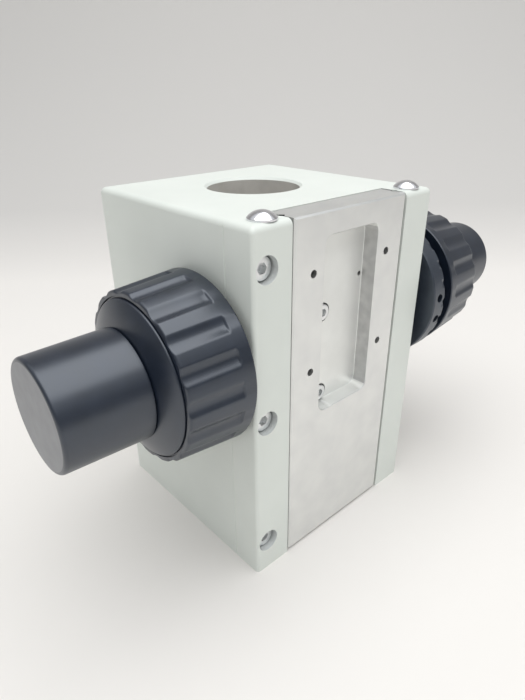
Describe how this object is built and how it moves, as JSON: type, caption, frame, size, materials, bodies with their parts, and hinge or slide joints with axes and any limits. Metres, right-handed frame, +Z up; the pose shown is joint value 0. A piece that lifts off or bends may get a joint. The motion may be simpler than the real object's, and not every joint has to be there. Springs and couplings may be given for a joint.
{
  "type": "coaxial coarse and fine focus drive block",
  "caption": "Painted block on a round pole bore with a rack-driven vertical slide, fluted coarse knobs, plain fine knobs and a tension ring.",
  "frame": {"origin": "pole bore's axis in the block's bottom face", "axes": "+Z up along the pole bore, -Y out of the slide's face, +X towards the knob with the tension ring"},
  "size_m": [0.1995, 0.0848, 0.1225],
  "materials": {
    "body_paint": "baked satin enamel, pale grey",
    "slide_aluminium": "bead-blasted, clear anodised",
    "knob_anodised": "hard anodised, satin blue-black",
    "ring_anodised": "hard anodised, satin blue-black",
    "screw_steel": "plain, slightly worn",
    "dome_chrome": "polished",
    "black_steel": "blackened",
    "bright_steel": "ground",
    "spring_steel": "plain",
    "bush_steel": "turned",
    "bush_brass": "turned",
    "washer_acetal": "plain, dark"
  },
  "bodies": {
    "drive_block": {"housing": "body_paint", "left_guide_bar": "body_paint", "guide_bar_screws": "screw_steel", "guide_end_screws": "dome_chrome", "cage_stop_pins": "screw_steel", "pole_clamp_screws": "black_steel", "pole_clamp_pads": "bush_brass", "left_bearing_bush": "bush_brass", "right_bearing_bush": "bush_steel", "bush_flange_screws": "screw_steel", "friction_washer": "washer_acetal", "tension_springs": "spring_steel"},
    "slide": {"slide_plate": "slide_aluminium", "rack": "bush_brass", "rack_screws": "screw_steel"},
    "left_cage": {"left_roller_cage": "bush_brass", "left_rollers": "bright_steel"},
    "right_cage": {"right_roller_cage": "bush_brass", "right_rollers": "bright_steel"},
    "coarse_drive": {"coarse_pinion_sleeve": "bright_steel", "sleeve_clip": "spring_steel", "thrust_washer": "spring_steel", "left_coarse_knob": "knob_anodised", "left_coarse_cover": "knob_anodised", "left_cover_bush": "bush_brass", "planet_stud": "bright_steel", "right_coarse_knob": "knob_anodised", "right_coarse_cover": "knob_anodised", "right_hub_set_screw": "black_steel"},
    "fine_drive": {"fine_shaft": "bright_steel", "left_fine_knob": "knob_anodised", "right_fine_knob": "knob_anodised", "fine_knob_set_screws": "black_steel"},
    "planet": {"planet_gear": "bush_brass"},
    "output_gear": {"sleeve_gear": "bush_brass"},
    "tension_collar": {"tension_ring": "ring_anodised", "ring_lock_screw": "black_steel"}
  },
  "joints": [
    {"name": "coarse_spin", "type": "hinge", "parent": "drive_block", "child": "coarse_drive", "pos_m": [0, -0.022, 0.0772], "axis": [-1, 0, 0], "range_deg": [-257.83, 257.83]},
    {"name": "slide_travel", "type": "slide", "parent": "drive_block", "child": "slide", "axis": [0, 0, 1], "range_m": [-0.018, 0.018]},
    {"name": "left_cage_travel", "type": "slide", "parent": "drive_block", "child": "left_cage", "axis": [0, 0, 1], "range_m": [-0.009, 0.009]},
    {"name": "right_cage_travel", "type": "slide", "parent": "drive_block", "child": "right_cage", "axis": [0, 0, 1], "range_m": [-0.009, 0.009]},
    {"name": "fine_spin", "type": "hinge", "parent": "coarse_drive", "child": "fine_drive", "pos_m": [0, -0.022, 0.0772], "axis": [-1, 0, 0], "continuous": true},
    {"name": "planet_spin", "type": "hinge", "parent": "coarse_drive", "child": "planet", "pos_m": [-0.048, -0.022, 0.0892], "axis": [-1, 0, 0], "continuous": true},
    {"name": "output_gear_spin", "type": "hinge", "parent": "coarse_drive", "child": "output_gear", "pos_m": [-0.045, -0.022, 0.0772], "axis": [-1, 0, 0], "continuous": true},
    {"name": "tension_turn", "type": "hinge", "parent": "drive_block", "child": "tension_collar", "pos_m": [0.0476, -0.022, 0.0772], "axis": [1, 0, 0], "range_deg": [-60, 60]}
  ],
  "couplings": [
    {"joint": "slide_travel", "follows": "coarse_spin", "m_per_rad": 0.004},
    {"joint": "left_cage_travel", "follows": "coarse_spin", "m_per_rad": 0.002},
    {"joint": "right_cage_travel", "follows": "coarse_spin", "m_per_rad": 0.002},
    {"joint": "planet_spin", "follows": "fine_spin", "ratio": -0.33333},
    {"joint": "output_gear_spin", "follows": "fine_spin", "ratio": 0.11111}
  ]
}
